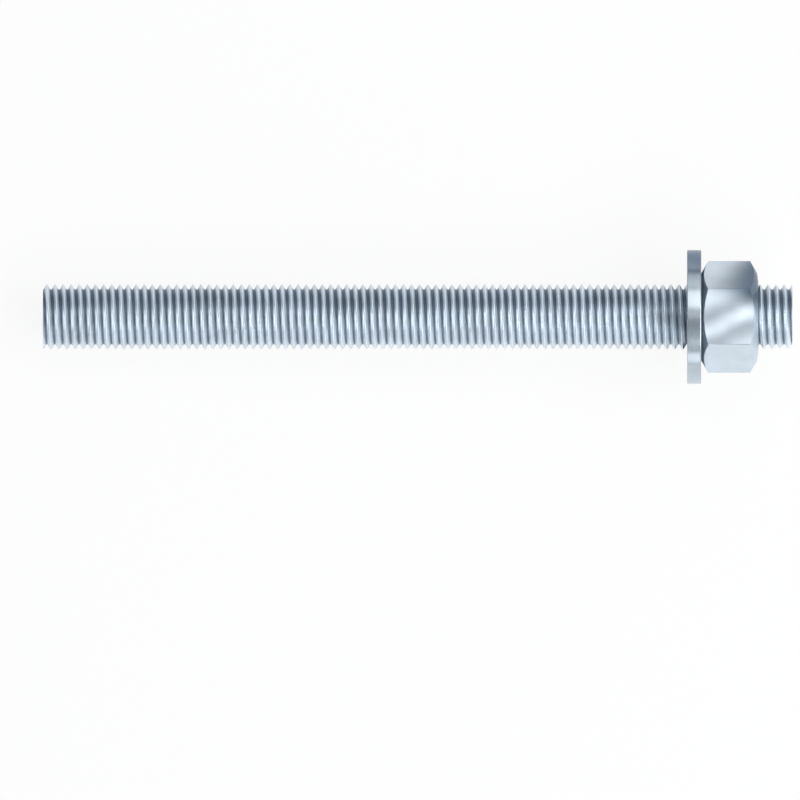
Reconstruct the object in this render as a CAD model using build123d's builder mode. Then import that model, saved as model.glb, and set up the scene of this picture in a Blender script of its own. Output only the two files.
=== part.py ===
from build123d import *
from math import asin, atan2, ceil, cos, floor, hypot, radians, sin, tan
import os

# Fully threaded anchor rod with a flat washer and a hex nut, lying on a flat
# surface: it rests on the washer's rim and on its own embedded end.
# Lengths are in millimetres and angles in degrees. Distances along the rod run
# from its embedded end towards the nut.

# Rod
rod_length = 185.0
thread_diameter = 16.0
thread_pitch = 2.0
end_chamfer = 0.3
first_crest = 0.5  # place of the first crest on the side that faces the floor

# Thread form, shared by the rod and the nut. Its clearances are the nut's.
flank_angle = 30.0
flank_clearance = 0.1  # square to the flanks, on each side
tip_clearance = 0.15  # over the rod's crests
bore_clearance = 0.08  # past the nominal bore, on each side

# Washer
washer_diameter = 33.0
washer_thickness = 3.5
washer_edge = 0.25
washer_clearance = 0.75  # round the rod

# Nut
nut_sides = 6
nut_flats = 24.0
nut_height = 14.1
nut_face_margin = 1.2  # from the flats in to the round face that the corner chamfers leave
nut_crown = 0.3  # how far the outer face rises towards its middle
corner_angle = 30.0
countersink_margin = 0.65  # from the rod's crests out to the countersink's rim
countersink_angle = 30.0

# How much of the rod stands out past the nut
thread_past_nut = 8.4

# How far a blank or a cutting outline reaches past what is cut from it
spare = 1.0

# Places along the rod
nut_start = rod_length - thread_past_nut - nut_height
nut_end = nut_start + nut_height
washer_start = nut_start - washer_thickness

# Metric thread profile, in shares of its sharp height and of its pitch
outside_depth = 17 / 24
inside_depth = 5 / 8
crest_share = 1 / 8

thread_r = thread_diameter / 2
flank_slope = tan(radians(flank_angle))
sharp_height = thread_pitch / (2 * flank_slope)
root_r = thread_r - sharp_height * outside_depth
bore_r = thread_r - sharp_height * inside_depth + bore_clearance
crest_half = thread_pitch * crest_share / 2

# The rod lies at a slight slope. Its first crest and the lower edge of the
# washer's bearing face touch the floor, and the washer's edge is rounded.
crest_contact = first_crest - crest_half
contact_run = washer_start + washer_edge - crest_contact
contact_drop = washer_diameter / 2 - washer_edge - thread_r
slope = atan2(contact_drop, contact_run) + asin(washer_edge / hypot(contact_run, contact_drop))
axis_height = thread_r * cos(slope) - crest_contact * sin(slope)

# Planes square to the rod, at its embedded end, with X to the floor side, and
# along the rod, with X along its axis and Y out from it
rod_end = Plane(
    origin=(-rod_length / 2 * cos(slope), 0, axis_height),
    x_dir=(sin(slope), 0, -cos(slope)),
    z_dir=(cos(slope), 0, sin(slope)),
)
rod_side = Plane(origin=rod_end.origin, x_dir=rod_end.z_dir, z_dir=rod_end.x_dir)
rod_axis = Axis(rod_end.origin, rod_end.z_dir)


def thread_skin(tip_r, foot_r, clearance, start, end):
    """Right-hand helical surface, one ruled strip for each side of the profile and each turn."""

    def half_width(radius):
        gap = clearance / cos(radians(flank_angle))
        return crest_half + (thread_r - radius) * flank_slope + gap

    profile = [
        (foot_r, -half_width(foot_r)),
        (tip_r, -half_width(tip_r)),
        (tip_r, half_width(tip_r)),
        (foot_r, half_width(foot_r)),
        (foot_r, thread_pitch - half_width(foot_r)),
    ]
    helices = [
        Helix(thread_pitch, thread_pitch, radius, center=(0, 0, first_crest + height))
        for radius, height in profile
    ]
    strips = [
        Face.make_surface_from_curves(lower.edge(), upper.edge())
        for lower, upper in zip(helices, helices[1:])
    ]
    turns = range(floor(start / thread_pitch) - 2, ceil(end / thread_pitch) + 1)
    rises = [Location((0, 0, turn * thread_pitch)) for turn in turns]
    skin = Shell([strip.moved(rise) for rise in rises for strip in strips])
    return skin.moved(rod_end.location)


def piece_at(pieces, along, radius):
    """The one piece of a split solid that holds the point at this place and radius."""
    point = rod_end.from_local_coords((radius, 0, along))
    return [piece for piece in pieces if piece.is_inside(point)][0]


rod_skin = thread_skin(thread_r, root_r, 0, 0, rod_length)
nut_skin = thread_skin(
    thread_r + tip_clearance, bore_r, flank_clearance, nut_start, nut_end
)

# Rod: a bar wider than the thread, chamfered at both ends and cut back to the
# thread's own surface
with BuildPart() as threaded_rod:
    with BuildSketch(rod_end):
        Circle(thread_r + spare)
    extrude(amount=rod_length)
    chamfer(threaded_rod.edges().filter_by(GeomType.CIRCLE), length=end_chamfer + spare)
    pieces = split(bisect_by=rod_skin, keep=Keep.ALL, mode=Mode.PRIVATE)
    add(piece_at(pieces.solids(), rod_length / 2, 0), mode=Mode.REPLACE)
threaded_rod.part.label = "threaded_rod"

# Washer: a flat ring with its two outer edges rounded
with BuildPart() as washer:
    with BuildSketch(rod_end.offset(washer_start)):
        Circle(washer_diameter / 2)
        Circle(thread_r + washer_clearance, mode=Mode.SUBTRACT)
    extrude(amount=washer_thickness)
    outer_edges = washer.edges().filter_by(GeomType.CIRCLE).group_by(SortBy.RADIUS)[-1]
    fillet(outer_edges, radius=washer_edge)
washer.part.label = "washer"

# Nut: a hexagon turned to its corner chamfers, its crown and its countersinks,
# and cut out to the thread's clearance surface
half_side = 180 / nut_sides
corner_r = nut_flats / 2 / cos(radians(half_side))
turned_r = corner_r + spare
face_r = nut_flats / 2 - nut_face_margin
corner_rise = (turned_r - face_r) * tan(radians(corner_angle))
sink_r = thread_r + countersink_margin
core_r = bore_r - spare
sink_depth = (sink_r - core_r) * tan(radians(countersink_angle))
with BuildPart() as hex_nut:
    with BuildSketch(rod_end.offset(nut_start)):
        RegularPolygon(nut_flats / 2, nut_sides, major_radius=False, rotation=half_side)
    extrude(amount=nut_height)
    with BuildSketch(rod_side):
        with BuildLine():
            Polyline(
                (nut_start + sink_depth, 0),
                (nut_start + sink_depth, core_r),
                (nut_start, sink_r),
                (nut_start, face_r),
                (nut_start + corner_rise, turned_r),
                (nut_end - nut_crown - corner_rise, turned_r),
                (nut_end - nut_crown, face_r),
                (nut_end, sink_r),
                (nut_end - sink_depth, core_r),
                (nut_end - sink_depth, 0),
                close=True,
            )
        make_face()
    revolve(axis=rod_axis, mode=Mode.INTERSECT)
    pieces = split(bisect_by=nut_skin, keep=Keep.ALL, mode=Mode.PRIVATE)
    wall_middle = (sink_r + nut_flats / 2) / 2
    add(piece_at(pieces.solids(), nut_start + nut_height / 2, wall_middle), mode=Mode.REPLACE)
hex_nut.part.label = "hex_nut"

os.makedirs("parts", exist_ok=True)
export_step(threaded_rod.part, "parts/threaded_rod.step")
export_step(washer.part, "parts/washer.step")
export_step(hex_nut.part, "parts/hex_nut.step")
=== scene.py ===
import math

import bmesh
import bpy
from mathutils import Matrix, Vector


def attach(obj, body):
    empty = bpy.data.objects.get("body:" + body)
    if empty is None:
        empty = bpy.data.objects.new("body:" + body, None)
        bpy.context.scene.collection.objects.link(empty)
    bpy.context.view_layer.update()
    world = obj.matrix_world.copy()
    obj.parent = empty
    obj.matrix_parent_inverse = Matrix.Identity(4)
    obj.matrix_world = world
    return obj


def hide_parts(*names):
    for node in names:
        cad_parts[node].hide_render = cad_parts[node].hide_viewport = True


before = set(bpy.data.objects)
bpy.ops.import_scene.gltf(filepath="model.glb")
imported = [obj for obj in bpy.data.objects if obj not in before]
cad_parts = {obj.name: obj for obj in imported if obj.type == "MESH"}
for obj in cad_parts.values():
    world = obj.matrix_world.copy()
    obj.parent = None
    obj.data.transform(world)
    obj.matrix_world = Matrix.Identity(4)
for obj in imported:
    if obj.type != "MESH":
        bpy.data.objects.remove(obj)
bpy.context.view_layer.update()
bpy.context.scene.view_settings.view_transform = "Standard"

# Fully threaded anchor rod with a flat washer and a hex nut, lying on the floor.
# Sizes of the pieces are in millimetres, as in the model's own source, and angles in degrees.
# Distances along the rod run from its embedded end towards the nut.
MM = 0.001

# Thread form, shared by the rod and the nut. Its clearances are the nut's.
THREAD_R = 8.0
PITCH = 2.0
FLANK_ANGLE = 30
OUTSIDE_DEPTH = 17 / 24  # share of the sharp height
INSIDE_DEPTH = 5 / 8  # share of the sharp height
CREST_SHARE = 1 / 8  # of the pitch
CREST_EDGE = 0.06  # breaking of the edges of the rod's crests
FLANK_CLEARANCE = 0.1
TIP_CLEARANCE = 0.15
BORE_CLEARANCE = 0.08

FLANK_SLOPE = math.tan(math.radians(FLANK_ANGLE))
SHARP_HEIGHT = PITCH / (2 * FLANK_SLOPE)  # of the profile, if its flanks met at both ends
ROOT_R = THREAD_R - SHARP_HEIGHT * OUTSIDE_DEPTH
ROOT_ROUNDING = SHARP_HEIGHT / 6
BORE_R = THREAD_R - SHARP_HEIGHT * INSIDE_DEPTH + BORE_CLEARANCE
CREST_HALF = PITCH * CREST_SHARE / 2

# Rod
ROD_LENGTH = 185.0
END_CHAMFER = 0.3
END_RING = 0.25  # width of the ring inside the rim of each end
FIRST_CREST = 0.5  # place of the first crest on the side that faces the floor

# Washer
WASHER_R = 16.5
WASHER_THICKNESS = 3.5
WASHER_EDGE = 0.25  # rounding of the outer edges
HOLE_R = 8.75
HOLE_EDGE = 0.15  # rounding of the hole's edges

# Nut
NUT_SIDES = 6
NUT_FLAT_R = 12.0
NUT_HEIGHT = 14.1
NUT_FACE_R = 10.8  # of the round face that the corner chamfers leave
NUT_CROWN = 0.3  # how far the outer face rises towards its middle
NUT_CORNER_R = 0.45  # rounding of the six corners
NUT_EDGE = 0.2  # breaking of the edges that ring the nut
CHAMFER_ANGLE = 30
SINK_R = 8.65  # of the countersinks, at the rim
SINK_ANGLE = 30

# Sides and rounded corners of the nut's hexagon
SIDE = math.tau / NUT_SIDES  # angle of a side
HALF_SIDE = SIDE / 2
CORNER_MIDDLE = (NUT_FLAT_R - NUT_CORNER_R) / math.cos(HALF_SIDE)  # of the rounding's circle
CORNER_START = math.atan2(CORNER_MIDDLE * math.sin(HALF_SIDE), NUT_FLAT_R)  # from a flat's middle

# Fineness of the meshes
THREAD_SEGMENTS = 96
SPARE_TURNS = 3  # past each end of a thread, before it is cut
ROOT_SEGMENTS = 2
WASHER_SEGMENTS = 192
EDGE_SEGMENTS = 4
FLAT_SEGMENTS = 24
CORNER_SEGMENTS = 6
SINK_SEGMENTS = 4
BEVEL_SEGMENTS = 3
SHARP_BEND = 12  # least bend at which an edge of the nut's outside is broken
CUT_TOLERANCE = 1e-5
CLOSE = 1e-3  # how near to an end of the rod counts as on it

# Places along the rod
THREAD_PAST_NUT = 8.4
NUT_START = ROD_LENGTH - THREAD_PAST_NUT - NUT_HEIGHT
NUT_END = NUT_START + NUT_HEIGHT
WASHER_START = NUT_START - WASHER_THICKNESS
WASHER_END = NUT_START

# The rod's first crest and the lower edge of the washer touch the floor, which sets its slope
crest_contact = FIRST_CREST - CREST_HALF
run = WASHER_START + WASHER_EDGE - crest_contact
drop = WASHER_R - WASHER_EDGE - THREAD_R
slope = math.atan2(drop, run) + math.asin(WASHER_EDGE / math.hypot(run, drop))
axis_height = THREAD_R * math.cos(slope) - crest_contact * math.sin(slope)

# Directions and places in the model's frame
along = Vector((math.cos(slope), 0, math.sin(slope)))
down = Vector((math.sin(slope), 0, -math.cos(slope)))
across = Vector((0, 1, 0))
rod_end = Vector((-ROD_LENGTH / 2 * math.cos(slope), 0, axis_height))
nut_middle = (rod_end + along * (NUT_START + NUT_HEIGHT / 2)) * MM

# From the rod's own frame, with X to the floor side and Z along the axis, to the model's
from_rod = Matrix.Scale(MM, 4) @ Matrix((
    (down.x, 0, along.x, rod_end.x),
    (down.y, 1, along.y, rod_end.y),
    (down.z, 0, along.z, rod_end.z),
    (0, 0, 0, 1),
))


def new_object(name, data):
    """Object that shows in the scene."""
    made = bpy.data.objects.new(name, data)
    bpy.context.scene.collection.objects.link(made)
    return made


# Camera
PICTURE_PX = 800
ROD_LEFT_PX = 42.9
ROD_MIDDLE_PX = 316.9
ROD_LENGTH_PX = 749.5
CAMERA_DISTANCE = 1.0


def add_camera():
    """Camera square to the rod, so that the washer shows edge-on."""
    pixel = ROD_LENGTH / ROD_LENGTH_PX * MM
    data = bpy.data.cameras.new("camera")
    data.type = "ORTHO"
    data.ortho_scale = PICTURE_PX * pixel
    data.clip_start = 0.01
    data.clip_end = 5
    camera = new_object("camera", data)
    camera.matrix_world = Matrix((
        (along.x, 0, -down.x, 0),
        (along.y, 1, -down.y, 0),
        (along.z, 0, -down.z, 0),
        (0, 0, 0, 1),
    ))
    right = (PICTURE_PX / 2 - ROD_LEFT_PX) * pixel
    below = (PICTURE_PX / 2 - ROD_MIDDLE_PX) * pixel
    camera.location = rod_end * MM + along * right - across * below - down * CAMERA_DISTANCE
    bpy.context.scene.camera = camera


# Mesh helpers, in the rod's own frame
def ring(bm, angle, outline):
    """Points of an outline (place, radius) at an angle round the rod."""
    c, s = math.cos(angle), math.sin(angle)
    return [bm.verts.new((radius * c, radius * s, place)) for place, radius in outline]


def skin(bm, here, there):
    """Faces between two rings."""
    for j in range(len(here) - 1):
        bm.faces.new((here[j], there[j], there[j + 1], here[j + 1]))


def helical_band(bm, profile, start, end):
    """Welded helical surface past both places. Its profile (place, radius) spans one pitch."""
    first_turn = int(start / PITCH) - SPARE_TURNS
    last_turn = int(end / PITCH) + SPARE_TURNS
    rings = []
    for step in range((last_turn - first_turn) * THREAD_SEGMENTS + 1):
        rise = FIRST_CREST + (first_turn + step / THREAD_SEGMENTS) * PITCH
        angle = math.tau * (step % THREAD_SEGMENTS) / THREAD_SEGMENTS
        rings.append(ring(bm, angle, [(rise + place, radius) for place, radius in profile]))
    for step in range(len(rings) - 1):
        here, there = rings[step], rings[step + 1]
        # The last point of a turn is joined to the first one of the next turn
        if step + 1 + THREAD_SEGMENTS < len(rings):
            here = here + rings[step + THREAD_SEGMENTS][:1]
            there = there + rings[step + 1 + THREAD_SEGMENTS][:1]
        skin(bm, here, there)


def cut(bm, place, dropped_side=0):
    """Cut square to the rod, and drop what lies below (-1) or above (1) the cut, if any."""
    bmesh.ops.bisect_plane(
        bm,
        geom=bm.verts[:] + bm.edges[:] + bm.faces[:],
        dist=CUT_TOLERANCE,
        plane_co=(0, 0, place),
        plane_no=(0, 0, dropped_side or 1),
        clear_outer=bool(dropped_side),
    )


def radius_of(point):
    return math.hypot(point.x, point.y)


def move_to_radius(vert, radius):
    scale = radius / radius_of(vert.co)
    vert.co.x *= scale
    vert.co.y *= scale


# Rod
def rod_profile():
    """Rounded root, straight flanks and a flat crest with broken edges, from root to root."""
    rising = []
    for k in range(ROOT_SEGMENTS + 1):
        a = math.radians((90 - FLANK_ANGLE) * k / ROOT_SEGMENTS)
        rising.append((ROOT_ROUNDING * math.sin(a), ROOT_R + ROOT_ROUNDING * (1 - math.cos(a))))
    crest_start = PITCH / 2 - CREST_HALF
    flank = math.radians(FLANK_ANGLE)
    rising.append((crest_start - CREST_EDGE * math.sin(flank), THREAD_R - CREST_EDGE * math.cos(flank)))
    rising.append((crest_start + CREST_EDGE, THREAD_R))
    falling = [(PITCH / 2 - place, radius) for place, radius in rising[:0:-1]]
    return [(place - PITCH / 2, radius) for place, radius in rising] + falling


def chamfer_ends(bm):
    """Narrow the thread towards both ends of the rod."""
    for v in bm.verts:
        from_end = min(v.co.z, ROD_LENGTH - v.co.z)
        limit = THREAD_R - END_CHAMFER + from_end
        if from_end < END_CHAMFER and radius_of(v.co) > limit:
            move_to_radius(v, limit)


def close_end(bm, place):
    """Face over an end of the rod, with a ring set in from its rim to keep it flat up to there."""
    rim = [
        e for e in bm.edges
        if e.is_boundary and all(abs(v.co.z - place) < CLOSE for v in e.verts)
    ]
    face = bmesh.ops.contextual_create(bm, geom=rim)["faces"]
    bmesh.ops.inset_region(bm, faces=face, thickness=END_RING, use_even_offset=False)


def rod_mesh():
    bm = bmesh.new()
    helical_band(bm, rod_profile(), 0, ROD_LENGTH)
    cut(bm, 0, -1)
    cut(bm, ROD_LENGTH, 1)
    cut(bm, END_CHAMFER)
    cut(bm, ROD_LENGTH - END_CHAMFER)
    chamfer_ends(bm)
    close_end(bm, 0)
    close_end(bm, ROD_LENGTH)
    return bm


# Washer
def rounded_corner(place, radius, rounding, start):
    """Quarter circle of the washer's outline, from a starting angle."""
    angles = [math.radians(start + 90 * k / EDGE_SEGMENTS) for k in range(EDGE_SEGMENTS + 1)]
    return [(place + rounding * math.cos(a), radius + rounding * math.sin(a)) for a in angles]


def washer_mesh():
    outer = WASHER_R - WASHER_EDGE
    inner = HOLE_R + HOLE_EDGE
    outline = (
        rounded_corner(WASHER_END - WASHER_EDGE, outer, WASHER_EDGE, 0)
        + rounded_corner(WASHER_START + WASHER_EDGE, outer, WASHER_EDGE, 90)
        + rounded_corner(WASHER_START + HOLE_EDGE, inner, HOLE_EDGE, 180)
        + rounded_corner(WASHER_END - HOLE_EDGE, inner, HOLE_EDGE, 270)
    )
    bm = bmesh.new()
    rings = [ring(bm, math.tau * k / WASHER_SEGMENTS, outline) for k in range(WASHER_SEGMENTS)]
    for here, there in zip(rings, rings[1:] + rings[:1]):
        skin(bm, here + here[:1], there + there[:1])
    return bm


# Nut
def hexagon_radius(angle):
    """Distance from the axis to a hexagon with rounded corners and a flat at the angle 0."""
    from_flat = abs((angle + HALF_SIDE) % SIDE - HALF_SIDE)
    if from_flat <= CORNER_START:
        return NUT_FLAT_R / math.cos(from_flat)
    from_corner = HALF_SIDE - from_flat
    reach = math.sqrt(NUT_CORNER_R ** 2 - (CORNER_MIDDLE * math.sin(from_corner)) ** 2)
    return CORNER_MIDDLE * math.cos(from_corner) + reach


def hexagon_angles():
    """Angles of the points round the hexagon, over each flat and then its corner."""
    half_flat = FLAT_SEGMENTS // 2
    corner = SIDE - 2 * CORNER_START
    one_side = [CORNER_START * (k / half_flat) for k in range(-half_flat, half_flat + 1)]
    one_side += [CORNER_START + corner * k / CORNER_SEGMENTS for k in range(1, CORNER_SEGMENTS)]
    return [side * SIDE + a for side in range(NUT_SIDES) for a in one_side]


def nut_outside(bm):
    """Hexagon with chamfered corners and a crowned outer face, from countersink to countersink."""
    rings = []
    for angle in hexagon_angles():
        radius = hexagon_radius(angle)
        chamfer = (radius - NUT_FACE_R) * math.tan(math.radians(CHAMFER_ANGLE))
        rings.append(ring(bm, angle, [
            (NUT_START, SINK_R),
            (NUT_START, NUT_FACE_R),
            (NUT_START + chamfer, radius),
            (NUT_END - NUT_CROWN - chamfer, radius),
            (NUT_END - NUT_CROWN, NUT_FACE_R),
            (NUT_END, SINK_R),
        ]))
    for here, there in zip(rings, rings[1:] + rings[:1]):
        skin(bm, here, there)
    # Only the edges that ring the nut are broken here, because its corners are round already
    least_bend = math.radians(SHARP_BEND)
    broken = [e for e in bm.edges if not e.is_boundary and e.calc_face_angle() > least_bend]
    bmesh.ops.bevel(
        bm,
        geom=broken,
        offset=NUT_EDGE,
        offset_type="OFFSET",
        segments=BEVEL_SEGMENTS,
        profile=0.5,
        affect="EDGES",
        clamp_overlap=False,
    )


def nut_thread(bm):
    """Thread inside the nut, opened out at both ends by the countersinks."""
    gap = FLANK_CLEARANCE / math.cos(math.radians(FLANK_ANGLE))
    tip_half = CREST_HALF + gap - TIP_CLEARANCE * FLANK_SLOPE
    bore_half = CREST_HALF + gap + (THREAD_R - BORE_R) * FLANK_SLOPE
    profile = [
        (-bore_half, BORE_R),
        (-tip_half, THREAD_R + TIP_CLEARANCE),
        (tip_half, THREAD_R + TIP_CLEARANCE),
        (bore_half, BORE_R),
    ]
    helical_band(bm, profile, NUT_START, NUT_END)
    cut(bm, NUT_START, -1)
    cut(bm, NUT_END, 1)
    sink_slope = math.tan(math.radians(SINK_ANGLE))
    sink_depth = (SINK_R - BORE_R) * sink_slope
    for k in range(1, SINK_SEGMENTS + 1):
        cut(bm, NUT_START + sink_depth * k / SINK_SEGMENTS)
        cut(bm, NUT_END - sink_depth * k / SINK_SEGMENTS)
    for v in bm.verts:
        from_end = min(v.co.z - NUT_START, NUT_END - v.co.z)
        limit = SINK_R - from_end / sink_slope
        if radius_of(v.co) < limit:
            move_to_radius(v, limit)


def nut_mesh():
    """Outside and thread, made apart so that the thread's cuts don't go through the outside."""
    bm = bmesh.new()
    nut_outside(bm)
    inside = bmesh.new()
    nut_thread(inside)
    thread = bpy.data.meshes.new("nut_thread")
    inside.to_mesh(thread)
    inside.free()
    bm.from_mesh(thread)
    bpy.data.meshes.remove(thread)
    return bm


# Shader nodes
def node(tree, kind, inputs, **settings):
    """New shader node. Each of its inputs takes a value or the output of another node."""
    made = tree.nodes.new(kind)
    for name, value in settings.items():
        setattr(made, name, value)
    for name, value in inputs.items():
        if isinstance(value, bpy.types.NodeSocket):
            tree.links.new(value, made.inputs[name])
        else:
            made.inputs[name].default_value = value
    return made


def colour_mix(tree, share, first, second, blend_type="MIX"):
    """Mixed colour. The sockets go by number, because those of each data type share their names."""
    sockets = {0: share, 6: first, 7: second}
    mix = node(tree, "ShaderNodeMix", sockets, data_type="RGBA", blend_type=blend_type)
    return mix.outputs[2]


# Steel
def side_shade_share(tree, place, seed, side, span):
    """Share of painted shade, by how far a place lies towards a side, with an uneven border."""
    from_middle = node(
        tree, "ShaderNodeVectorMath", {0: place, 1: nut_middle}, operation="SUBTRACT"
    ).outputs["Vector"]
    sideways = node(
        tree, "ShaderNodeVectorMath", {0: from_middle, 1: side}, operation="DOT_PRODUCT"
    ).outputs["Value"]
    noise = node(
        tree, "ShaderNodeTexNoise", {"Vector": place, "W": seed, "Scale": 70.0, "Detail": 0.0},
        noise_dimensions="4D",
    ).outputs["Fac"]
    unevenness = 0.006
    border = node(
        tree, "ShaderNodeMath", {0: noise, 1: unevenness, 2: sideways}, operation="MULTIPLY_ADD"
    ).outputs[0]
    return node(
        tree, "ShaderNodeMapRange",
        {"Value": border, "From Min": span[0], "From Max": span[1]},
        interpolation_type="SMOOTHSTEP",
    ).outputs["Result"]


def with_painted_groove_shade(tree, colour, side_shade):
    """Painted shade in the thread's roots, which reaches further up the flanks on the side with painted
    shade.
    """
    unshaded_depth = 0.80
    shaded_side_reach = -0.40
    depth = node(tree, "ShaderNodeAttribute", {}, attribute_name="groove").outputs["Fac"]
    shade_start = node(
        tree, "ShaderNodeMath", {0: side_shade, 1: shaded_side_reach, 2: unshaded_depth}, operation="MULTIPLY_ADD"
    ).outputs[0]
    groove_shade = node(tree, "ShaderNodeMapRange", {"Value": depth, "From Min": shade_start}).outputs["Result"]
    # Painted shade: a dark colour multiplied into the thread's roots, from the depth given above.
    groove_shade_colour = (0.12, 0.16, 0.21, 1)
    return colour_mix(tree, groove_shade, colour, groove_shade_colour, "MULTIPLY")


def drawn_lines(tree, place):
    """Bump of fine lines along the axis."""
    stretched = node(
        tree, "ShaderNodeMapping", {"Vector": place, "Scale": (0.06, 1, 1)}
    ).outputs["Vector"]
    noise = node(
        tree, "ShaderNodeTexNoise", {"Vector": stretched, "Scale": 1300.0, "Detail": 1.0}
    ).outputs["Fac"]
    return node(tree, "ShaderNodeBump", {"Height": noise, "Strength": 0.2, "Distance": 0.00002})


def slow_waves(tree, place):
    """Bump of slow slanting waves, for the unevenness of a formed face."""
    slanted = node(
        tree, "ShaderNodeMapping",
        {"Vector": place, "Location": nut_middle, "Rotation": (0, 0, math.radians(-60))},
        vector_type="TEXTURE",
    ).outputs["Vector"]
    waves = node(
        tree, "ShaderNodeTexWave",
        {
            "Vector": slanted,
            "Scale": 20.0,
            "Distortion": 1.5,
            "Detail": 0.0,
            "Phase Offset": 4.7,
        },
    ).outputs["Fac"]
    return node(tree, "ShaderNodeBump", {"Height": waves, "Strength": 1.0, "Distance": 0.0012})


def steel(
    name, tone, metallic, roughness, seed, side_shade_tone, shade_side, shade_span, groove_shaded=False, wavy=False
):
    """Zinc-plated steel: soft clouds in its colour and gloss, painted shade darkening one side, and
    fine lines.
    """
    material = bpy.data.materials.new(name)
    material.use_nodes = True
    tree = material.node_tree
    shader = tree.nodes["Principled BSDF"]
    shader.inputs["Metallic"].default_value = metallic
    place = node(tree, "ShaderNodeTexCoord", {}).outputs["Object"]
    clouds = node(
        tree, "ShaderNodeTexNoise",
        {"Vector": place, "W": seed, "Scale": 160.0, "Detail": 2.0, "Roughness": 0.5},
        noise_dimensions="4D",
    ).outputs["Fac"]

    darkest, palest = 0.76, 1.18
    ramp = node(tree, "ShaderNodeValToRGB", {"Fac": clouds})
    ramp.color_ramp.elements[0].color = (*[c * darkest for c in tone], 1)
    ramp.color_ramp.elements[1].color = (*[c * palest for c in tone], 1)
    # Painted shade: the colour darkens towards one side of the piece, with an uneven border.
    side_shade = side_shade_share(tree, place, seed, shade_side, shade_span)
    colour = colour_mix(tree, side_shade, ramp.outputs["Color"], (*side_shade_tone, 1), "MULTIPLY")
    if groove_shaded:
        colour = with_painted_groove_shade(tree, colour, side_shade)
    tree.links.new(colour, shader.inputs["Base Color"])

    smoother, rougher = 0.04, 0.08
    gloss = node(
        tree, "ShaderNodeMapRange",
        {"Value": clouds, "To Min": roughness - smoother, "To Max": roughness + rougher},
    )
    tree.links.new(gloss.outputs["Result"], shader.inputs["Roughness"])

    lines = drawn_lines(tree, place)
    if wavy:
        tree.links.new(slow_waves(tree, place).outputs["Normal"], lines.inputs["Normal"])
    tree.links.new(lines.outputs["Normal"], shader.inputs["Normal"])
    return material


# Pieces
def store_groove(mesh):
    """Store how deep each point lies in the thread, from 0 on its crests and on the ends to 1."""
    groove = mesh.attributes.new("groove", "FLOAT", "POINT")
    to_rod = from_rod.inverted()
    for v in mesh.vertices:
        point = to_rod @ v.co
        on_end = point.z < CLOSE or point.z > ROD_LENGTH - CLOSE
        share = (THREAD_R - radius_of(point)) / (THREAD_R - ROOT_R)
        groove.data[v.index].value = 0 if on_end else share


def add_piece(name, bm, material, body, replaced, sharp_angle=None):
    """Turn a mesh in the rod's own frame into a piece that stands for a node."""
    bmesh.ops.transform(bm, matrix=from_rod, verts=bm.verts)
    bmesh.ops.recalc_face_normals(bm, faces=bm.faces)
    mesh = bpy.data.meshes.new(name)
    bm.to_mesh(mesh)
    bm.free()
    mesh.polygons.foreach_set("use_smooth", [True] * len(mesh.polygons))
    if sharp_angle:
        mesh.set_sharp_from_angle(angle=math.radians(sharp_angle))
    mesh.materials.append(material)
    piece = new_object(name, mesh)
    normals = piece.modifiers.new("normals", "WEIGHTED_NORMAL")
    normals.keep_sharp = True
    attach(piece, body)
    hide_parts(replaced)
    return piece


def add_rod():
    material = steel(
        "rod_steel",
        tone=(0.82, 0.89, 0.95),
        metallic=0.78,
        roughness=0.33,
        seed=1.0,
        # Painted shade: a faint darkening of the rod towards one side, which also lifts the painted
        # shade in its roots there.
        side_shade_tone=(0.96, 0.97, 0.98),
        shade_side=across,
        shade_span=(0.003, 0.0075),
        # Painted shade in the roots of the rod's thread.
        groove_shaded=True,
    )
    piece = add_piece("rod_piece", rod_mesh(), material, "rod", "threaded_rod", sharp_angle=50)
    store_groove(piece.data)


def add_washer():
    material = steel(
        "washer_steel",
        tone=(0.55, 0.62, 0.68),
        metallic=0.9,
        roughness=0.22,
        seed=2.0,
        # Painted shade: the washer's colour darkens strongly towards one side.
        side_shade_tone=(0.26, 0.32, 0.41),
        shade_side=across,
        shade_span=(0.009, 0.018),
    )
    add_piece("washer_piece", washer_mesh(), material, "washer", "washer")


def add_nut():
    material = steel(
        "nut_steel",
        tone=(0.68, 0.76, 0.83),
        metallic=0.85,
        roughness=0.33,
        seed=3.0,
        # Painted shade: the nut's colour darkens strongly towards one upper side.
        side_shade_tone=(0.15, 0.20, 0.26),
        shade_side=(0.45, 0.72, 0.53),
        shade_span=(0.0112, 0.018),
        wavy=True,
    )
    add_piece("nut_piece", nut_mesh(), material, "nut", "hex_nut", sharp_angle=40)


# Background
def seen_share(tree, direct_share, glossy_share):
    """Share for rays that the camera sees directly or through glass, and for reflected ones."""
    ray = node(tree, "ShaderNodeLightPath", {}).outputs
    direct = node(
        tree, "ShaderNodeMath", {0: ray["Is Camera Ray"], 1: ray["Is Transmission Ray"]},
        operation="ADD",
    ).outputs[0]
    reflected = node(
        tree, "ShaderNodeMath", {0: ray["Is Glossy Ray"], 1: glossy_share}, operation="MULTIPLY"
    ).outputs[0]
    return node(
        tree, "ShaderNodeMath", {0: direct, 1: direct_share, 2: reflected},
        operation="MULTIPLY_ADD",
    ).outputs[0]


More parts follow.
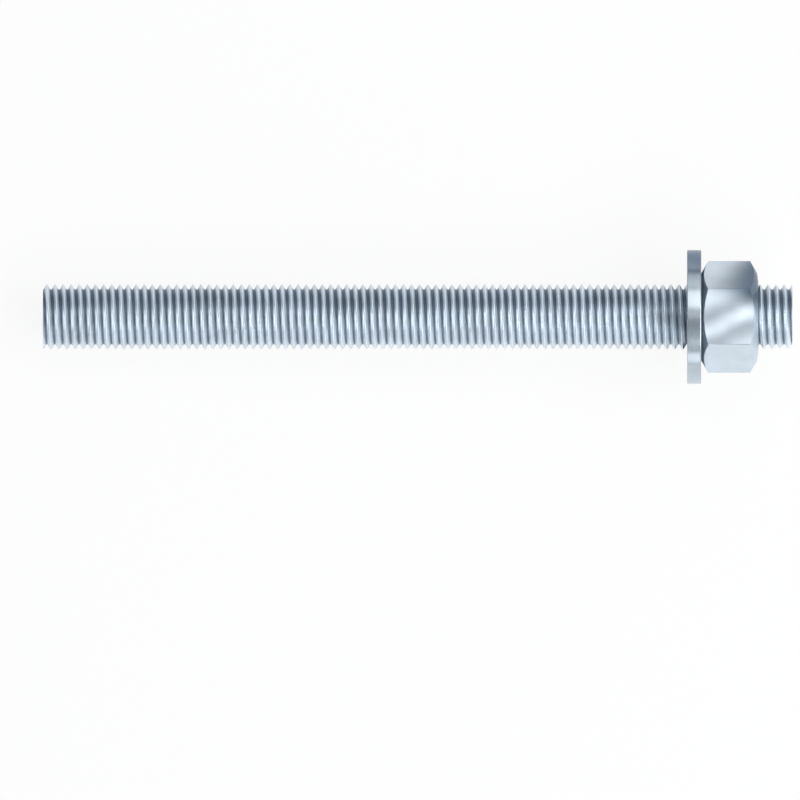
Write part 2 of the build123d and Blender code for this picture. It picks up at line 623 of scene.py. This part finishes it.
def paper():
    """Pale matt paper, lifted towards plain white where the camera or the metal sees it."""
    material = bpy.data.materials.new("paper")
    material.use_nodes = True
    tree = material.node_tree
    matt = tree.nodes["Principled BSDF"]
    matt.inputs["Base Color"].default_value = (0.93, 0.93, 0.93, 1)
    matt.inputs["Roughness"].default_value = 0.9
    matt.inputs["Specular IOR Level"].default_value = 0.1
    glow = node(tree, "ShaderNodeEmission", {"Color": (1, 1, 1, 1), "Strength": 1.0})
    lift = seen_share(tree, direct_share=0.89, glossy_share=0.45)
    lifted = node(
        tree, "ShaderNodeMixShader", {"Fac": lift, 1: matt.outputs[0], 2: glow.outputs[0]}
    )
    tree.links.new(lifted.outputs[0], tree.nodes["Material Output"].inputs["Surface"])
    return material


def add_floor():
    reach = 4
    corners = [(-reach, -reach, 0), (reach, -reach, 0), (reach, reach, 0), (-reach, reach, 0)]
    mesh = bpy.data.meshes.new("floor")
    mesh.from_pydata(corners, [], [(0, 1, 2, 3)])
    mesh.materials.append(paper())
    floor = new_object("floor", mesh)


def add_world():
    """Dim surroundings, paler on the near side. Past the floor's edge the camera sees white."""
    world = bpy.data.worlds.new("world")
    bpy.context.scene.world = world
    world.use_nodes = True
    tree = world.node_tree
    direction = node(tree, "ShaderNodeTexCoord", {}).outputs["Generated"]
    palest_side = Vector((0.5, -0.85, 0.1)).normalized()
    toward = node(
        tree, "ShaderNodeVectorMath", {0: direction, 1: palest_side}, operation="DOT_PRODUCT"
    ).outputs["Value"]
    # From -1 to 1 becomes from 0 to 1
    nearness = node(
        tree, "ShaderNodeMath", {0: toward, 1: 0.5, 2: 0.5}, operation="MULTIPLY_ADD"
    ).outputs[0]
    fade = node(tree, "ShaderNodeValToRGB", {"Fac": nearness})
    far, near = fade.color_ramp.elements
    far.position = 0.1
    far.color = (0.04, 0.055, 0.07, 1)
    near.position = 0.95
    near.color = (0.24, 0.27, 0.30, 1)
    white_share = seen_share(tree, direct_share=1.0, glossy_share=0.1)
    colour = colour_mix(tree, white_share, fade.outputs["Color"], (1, 1, 1, 1))
    tree.links.new(colour, tree.nodes["Background"].inputs["Color"])


# Light
def softbox(name, place, size, radiance, aim=(0, 0, 0)):
    """Rectangular lamp whose face is as bright as the radiance says, placed and sized in metres."""
    lamp = bpy.data.lights.new(name, "AREA")
    lamp.shape = "RECTANGLE"
    lamp.size, lamp.size_y = size
    lamp.energy = radiance * math.pi * size[0] * size[1]
    box = new_object(name, lamp)
    box.location = place
    box.rotation_euler = (Vector(aim) - Vector(place)).to_track_quat("-Z", "Y").to_euler()


def add_lamps():
    """Soft lamps over the rod and on both sides of it, and a strong one on the nut's side."""
    softbox("overhead", place=(0, 0.08, 1.2), size=(0.8, 0.26), radiance=0.5, aim=(0, 0.04, 0))
    softbox("back", place=(0, 0.66, 1.09), size=(1.3, 0.75), radiance=1.45)
    softbox("low_back", place=(0, 1.25, 0.55), size=(1.4, 0.7), radiance=0.9)
    softbox("front", place=(-0.2, -1.15, 0.33), size=(1.4, 0.45), radiance=1.2)
    softbox("high_front", place=(0, -0.95, 0.66), size=(1.4, 0.6), radiance=0.12)
    softbox("key", place=(0.75, -0.35, 0.97), size=(2.0, 0.6), radiance=4.0)


add_camera()
add_rod()
add_washer()
add_nut()
add_floor()
add_world()
add_lamps()
